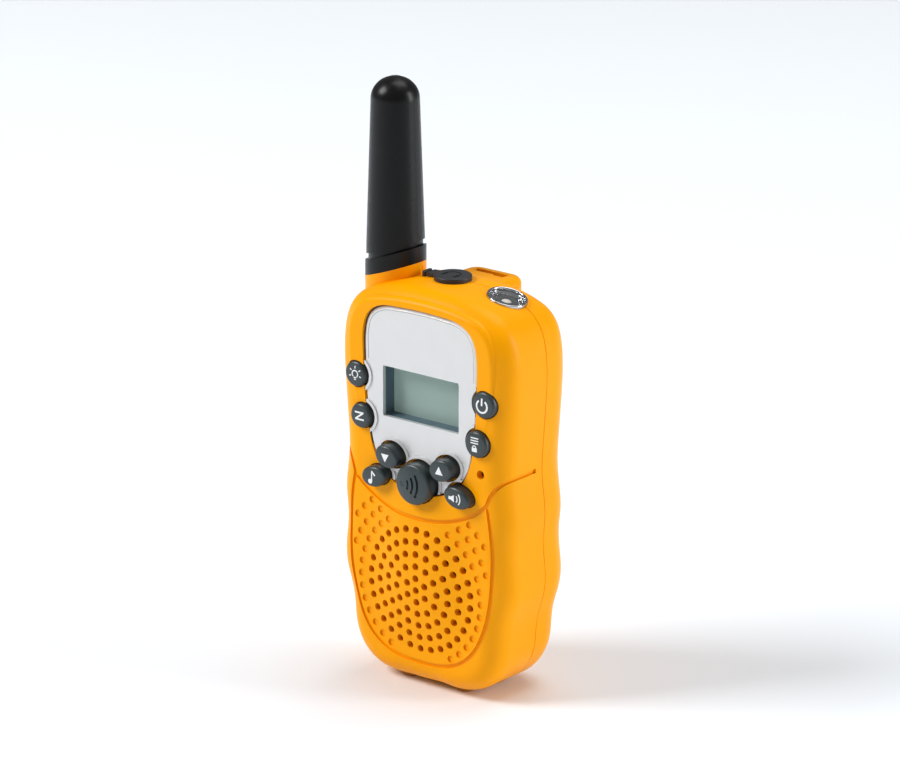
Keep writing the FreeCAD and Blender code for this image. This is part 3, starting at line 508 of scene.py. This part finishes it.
def draw_monitor(mark):
    """A small loudspeaker with two waves."""
    mark.bar((-1.9, 0.0), (-1.1, 0.0), 0.8)
    mark.wedge(-0.75, 0.0, 1.05, 90)
    mark.arc(-0.4, 0.0, 1.15, 0.3, -42, 84)
    mark.arc(-0.4, 0.0, 1.95, 0.3, -42, 84)


SYMBOLS = {
    "lamp_key": draw_lamp,
    "scan_key": draw_scan,
    "down_key": draw_down,
    "call_key": draw_call,
    "power_key": draw_power,
    "menu_key": draw_menu,
    "up_key": draw_up,
    "monitor_key": draw_monitor,
}


def face_of_key(key, thickness):
    """A function that lays a flat mark, one unit thick, on a key's domed face."""
    low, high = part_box(key)
    centre = (low + high) / 2

    def place(co):
        x, z = co.x * MM, co.y * MM
        sag = KEY_DOME_R - math.sqrt(KEY_DOME_R ** 2 - x * x - z * z)
        out = SYMBOL_LIFT + co.z * thickness
        return Vector((centre.x + x, low.y + sag - out, centre.z + z))

    return place


# ---- settings -----------------------------------------------------------------------------------
def colour_setting(name, description, default):
    """A colour that a user may change."""
    return FloatVectorProperty(name=name, description=description, default=default, size=3,
                               min=0.0, max=1.0, subtype="COLOR")


class RadioLooks(bpy.types.PropertyGroup):
    """Colours and fine sizes of the radio."""

    shell_colour: colour_setting("Shell", "Plastic of the two shells", (0.97, 0.372, 0.0))
    panel_colour: colour_setting("Panel", "Paint of the display panel", (0.675, 0.672, 0.672))
    key_colour: colour_setting("Keys", "Rubber of the keys", (0.028, 0.041, 0.044))
    cover_colour: colour_setting("Jack cover", "Rubber of the jack cover", (0.026, 0.027, 0.03))
    aerial_colour: colour_setting("Aerial", "Rubber of the aerial", (0.004, 0.004, 0.0043))
    display_colour: colour_setting("Display", "Film of the display", (0.56, 0.74, 0.675))
    symbol_colour: colour_setting("Symbols", "Ink of the key symbols", (0.86, 0.87, 0.87))
    symbol_thickness: FloatProperty(name="Ink thickness", description="Thickness of the ink",
                                    default=0.03 * MM, min=0.01 * MM, max=0.2 * MM,
                                    precision=6, subtype="DISTANCE")
    facets: IntProperty(name="Bowl facets", description="Facets round the torch bowl",
                        default=24, min=8, max=64)


def looks_of(context):
    """The radio's settings."""
    return context.scene.radio_looks


# ---- operators ----------------------------------------------------------------------------------
class RADIO_OT_finishes(bpy.types.Operator):
    """Give every carried-over part its material"""

    bl_idname = "radio.finishes"
    bl_label = "Part Finishes"

    def execute(self, context):
        made = finishes(looks_of(context))
        for part in frame["record"]["subparts"]:
            node = frame["nodes"][part["node"]]
            node.data.materials.clear()
            node.data.materials.append(made[part["material_slot"]])
        return {"FINISHED"}


class RADIO_OT_key_symbols(bpy.types.Operator):
    """Print the symbol on each key"""

    bl_idname = "radio.key_symbols"
    bl_label = "Key Symbols"

    def execute(self, context):
        looks = looks_of(context)
        ink = symbol_ink(tuple(looks.symbol_colour))
        for key, draw in SYMBOLS.items():
            mark = Drawing()
            draw(mark)
            symbol = mark.solid(key.replace("_key", "_symbol"),
                                face_of_key(key, looks.symbol_thickness))
            dress(symbol, ink, "panel", key + "_body")
        return {"FINISHED"}


class RADIO_OT_panel_edge(bpy.types.Operator):
    """Lay a dark strand of painted shade in the gap round the panel, and inside it a bead with a
    painted highlight and a fine painted shade line
    """

    bl_idname = "radio.panel_edge"
    bl_label = "Panel Edge"

    def execute(self, context):
        face_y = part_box("display_panel")[0].y + PANEL_RIM_RISE
        top = [Vector((-x, 0, z)) * MM for x, z in PANEL_TOP]
        top += [Vector((x, 0, z)) * MM for x, z in PANEL_TOP[-2::-1]]
        left = [Vector((-x, 0, z)) * MM for x, z in PANEL_LOW[::-1]]
        right = [Vector((x, 0, z)) * MM for x, z in PANEL_LOW]
        black = frame["nodes"]["keypad_mat"].data.materials[0]
        # The bead is a real raised strand, but its paint is lighter than the panel's: a painted
        # highlight along the panel's bevelled edge.
        bright = Finish("bead_highlight_paint", (0.86, 0.86, 0.86), 0.2, Coat_Weight=0.5)
        bright = bright.tone(0.003, (0.84, 0.84, 0.84), (0.88, 0.88, 0.88)).material
        shade = hard_plastic("shade_paint", (0.36, 0.36, 0.36), 0.5)
        # The three dark strands in the gap round the panel are painted shade: near-black rubber
        # laid where the gap's shadow falls.
        for name, line, inset, depth, radius, material, slot in (
                ("panel_gap_shade_top", top, -0.18, 0.32, 0.2, black, "dark_rubber"),
                ("panel_gap_shade_left", left, -0.18, 0.32, 0.2, black, "dark_rubber"),
                ("panel_gap_shade_right", right, -0.18, 0.32, 0.2, black, "dark_rubber"),
                ("panel_bead_highlight_top", top, 0.8, 0.08, 0.2, bright, "panel"),
                ("panel_shade_top", top, 1.08, 0.02, 0.07, shade, "panel")):
            lift = Vector((0, face_y + depth * MM, 0))
            path = [point + lift for point in moved_in(line, inset * MM)]
            edge = strand(name, path, radius * MM)
            dress(edge, material, slot, ROOT)
            smooth(edge, 60.0)
        return {"FINISHED"}


class RADIO_OT_torch(bpy.types.Operator):
    """Build the torch's faceted bowl, its rim, the dark collar, whose black is painted shade round
    the lamp, and the lamp's dome
    """

    bl_idname = "radio.torch"
    bl_label = "Torch Bowl"

    def execute(self, context):
        low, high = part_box("torch_lens")
        turn = Matrix.Rotation(math.radians(TORCH_TILT), 4, "Y")
        axis = turn @ Vector((0, 0, 1))
        place = Matrix.Translation((low + high) / 2 + axis * TORCH_LENS_DEPTH) @ turn

        bowl_outline = [BOWL_MOUTH]
        for ring in range(BOWL_RINGS):
            outer = 4.25 - 0.55 * ring
            depth = -0.82 - 0.08 * ring
            bowl_outline += [(outer, depth), (outer - 0.18, depth - 0.5),
                             (outer - 0.46, depth - 0.42)]
        bowl_outline += BOWL_BACK
        bowl = turned("torch_bowl", bowl_outline, looks_of(context).facets, place)
        rim = turned("torch_rim", RIM_OUTLINE, steps=72, place=place)
        collar = turned("torch_collar", COLLAR_OUTLINE, steps=48, place=place)
        dome = turned("lamp_dome", DOME_OUTLINE, steps=12, place=place)
        cup = turned("lamp_cup", CUP_OUTLINE, steps=12, place=place)

        chrome = frame["nodes"]["torch_reflector"].data.materials[0]
        clear = frame["nodes"]["torch_lamp"].data.materials[0]
        # The collar is a turned ring, but its near-black is painted shade: it stands for the shade
        # in the hole round the lamp.
        black = hard_plastic("collar_painted_shade", (0.004, 0.004, 0.005), 0.7)
        for piece, material, slot in ((bowl, chrome, "chrome"), (rim, chrome, "chrome"),
                                      (collar, black, "chip"), (dome, clear, "lamp"),
                                      (cup, chrome, "chrome")):
            dress(piece, material, slot, ROOT)
        for piece in (rim, collar):
            smooth(piece)
        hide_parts("torch_reflector")
        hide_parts("torch_lamp")
        return {"FINISHED"}


class RADIO_OT_stage(bpy.types.Operator):
    """Set the floor, the lights, the surroundings and the camera"""

    bl_idname = "radio.stage"
    bl_label = "Studio Stage"

    def execute(self, context):
        scene = context.scene
        bm = bmesh.new()
        bmesh.ops.create_circle(bm, cap_ends=True, segments=64, radius=FLOOR_R)
        ground = as_object("floor", bm)
        paper = Finish("floor_paper", (0.88, 0.92, 0.965), 0.75)
        paper.tone(0.4, (0.875, 0.92, 0.965), (0.89, 0.93, 0.975))
        ground.data.materials.append(paper.grain(paper.noise(0.003), 0.02, 0.0001).material)

        world = bpy.data.worlds.new("studio")
        scene.world = world
        world.use_nodes = True
        surround = world.node_tree.nodes["Background"]
        surround.inputs["Color"].default_value = (1.0, 1.0, 1.0, 1.0)
        surround.inputs["Strength"].default_value = SURROUND_STRENGTH

        for name, lamp_place, width, height, power in LIGHTS:
            lamp = bpy.data.lights.new(name, "AREA")
            lamp.shape = "RECTANGLE"
            lamp.size = width
            lamp.size_y = height
            lamp.energy = power
            light = bpy.data.objects.new(name, lamp)
            scene.collection.objects.link(light)
            look_at(light, AIM, *lamp_place)

        lens = bpy.data.cameras.new("camera")
        lens.lens = CAMERA_LENS
        lens.sensor_width = SENSOR_WIDTH
        lens.clip_start = 0.05
        lens.clip_end = 20.0
        camera = bpy.data.objects.new("camera", lens)
        scene.collection.objects.link(camera)
        look_at(camera, AIM, *CAMERA_PLACE)
        scene.camera = camera
        scene.view_settings.view_transform = "Standard"
        return {"FINISHED"}


def look_at(obj, aim, azimuth, elevation, distance):
    """Places obj round aim, with azimuth 0 in front of the keys, and points it there."""
    turn, rise = math.radians(azimuth), math.radians(elevation)
    level = math.cos(rise)
    back = Vector((math.sin(turn) * level, -math.cos(turn) * level, math.sin(rise)))
    obj.location = aim + back * distance
    obj.rotation_euler = back.to_track_quat("Z", "Y").to_euler()


class RADIO_PT_looks(bpy.types.Panel):
    """The radio's settings and pieces"""

    bl_label = "Two Way Radio"
    bl_idname = "RADIO_PT_looks"
    bl_space_type = "VIEW_3D"
    bl_region_type = "UI"
    bl_category = "Radio"

    def draw(self, context):
        for name in RadioLooks.__annotations__:
            self.layout.prop(looks_of(context), name)
        for operator in OPERATORS:
            self.layout.operator(operator.bl_idname)


OPERATORS = (RADIO_OT_finishes, RADIO_OT_key_symbols, RADIO_OT_panel_edge, RADIO_OT_torch,
             RADIO_OT_stage)
CLASSES = (RadioLooks, *OPERATORS, RADIO_PT_looks)


def register():
    """Makes the settings, operators and panel known."""
    for cls in CLASSES:
        bpy.utils.register_class(cls)
    bpy.types.Scene.radio_looks = PointerProperty(type=RadioLooks)


def unregister():
    """Takes them away again."""
    del bpy.types.Scene.radio_looks
    for cls in reversed(CLASSES):
        bpy.utils.unregister_class(cls)


def main():
    """Builds the looks round the frame."""
    register()
    bpy.ops.radio.finishes()
    bpy.ops.radio.key_symbols()
    bpy.ops.radio.panel_edge()
    bpy.ops.radio.torch()
    bpy.ops.radio.stage()
    bpy.context.view_layer.update()


if __name__ == "__main__":
    main()
